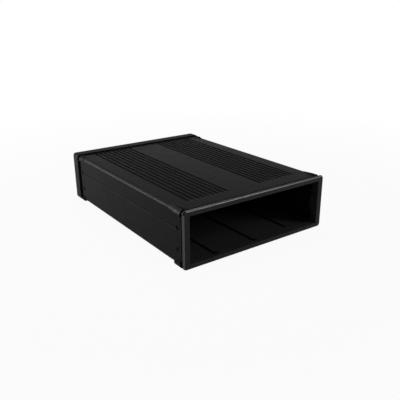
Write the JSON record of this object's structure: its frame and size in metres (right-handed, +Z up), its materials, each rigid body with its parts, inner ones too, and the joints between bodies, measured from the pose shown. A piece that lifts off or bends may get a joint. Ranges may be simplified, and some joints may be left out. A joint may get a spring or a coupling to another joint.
{
  "type": "external optical drive enclosure",
  "caption": "Long low black case, open at the front for an optical drive, with end frames, a grooved top shell, a lower shell, a rear panel with ports and a bridge board inside.",
  "frame": {"origin": "middle of the case's footprint, on the surface that it stands on", "axes": "+X to the right seen from the open front, +Y from the open front to the rear panel, +Z up"},
  "size_m": [0.162, 0.2234, 0.0528],
  "materials": {
    "frame_plastic": "fine matte moulding, smooth at its rounded edges",
    "shell_paint": "fine black anodised",
    "panel_paint": "fine texture black",
    "screw_steel": "blackened",
    "board_resin": "solder mask",
    "pillar_brass": "turned",
    "contact_brass": "gold plated",
    "plated_steel": "satin plating",
    "receptacle_plastic": "moulded",
    "insulator_plastic": "moulded",
    "switch_plastic": "moulded",
    "rocker_plastic": "polished",
    "lens_plastic": "clear",
    "chip_resin": "moulded",
    "can_metal": "satin",
    "ferrite": "pressed",
    "ceramic": "fired"
  },
  "bodies": {
    "case": {"front_frame": "frame_plastic", "rear_frame": "frame_plastic", "upper_shell": "shell_paint", "lower_shell": "shell_paint", "rear_panel": "panel_paint", "rear_panel_screws": "screw_steel", "bridge_board": "board_resin", "board_standoffs": "pillar_brass", "board_screws": "screw_steel", "sata_receptacle": "receptacle_plastic", "sata_contacts": "contact_brass", "usb_shell": "plated_steel", "usb_insulator": "insulator_plastic", "usb_contacts": "contact_brass", "dc_jack_housing": "receptacle_plastic", "dc_jack_pin": "plated_steel", "dc_jack_spring": "plated_steel", "power_switch_housing": "switch_plastic", "power_switch_terminals": "plated_steel", "status_led": "lens_plastic", "led_holder": "receptacle_plastic", "bridge_chip": "chip_resin", "flash_chip": "chip_resin", "chip_leads": "plated_steel", "clock_crystal": "can_metal", "filter_capacitors": "can_metal", "capacitor_bases": "receptacle_plastic", "power_inductors": "ferrite", "voltage_regulator": "chip_resin", "small_chips": "ceramic"},
    "power_rocker": {"power_switch_rocker": "rocker_plastic"}
  },
  "joints": [
    {"name": "power_switch", "type": "hinge", "parent": "case", "child": "power_rocker", "pos_m": [0.043, 0.10605, 0.0186], "axis": [-1, 0, 0], "range_deg": [0, 16]}
  ]
}
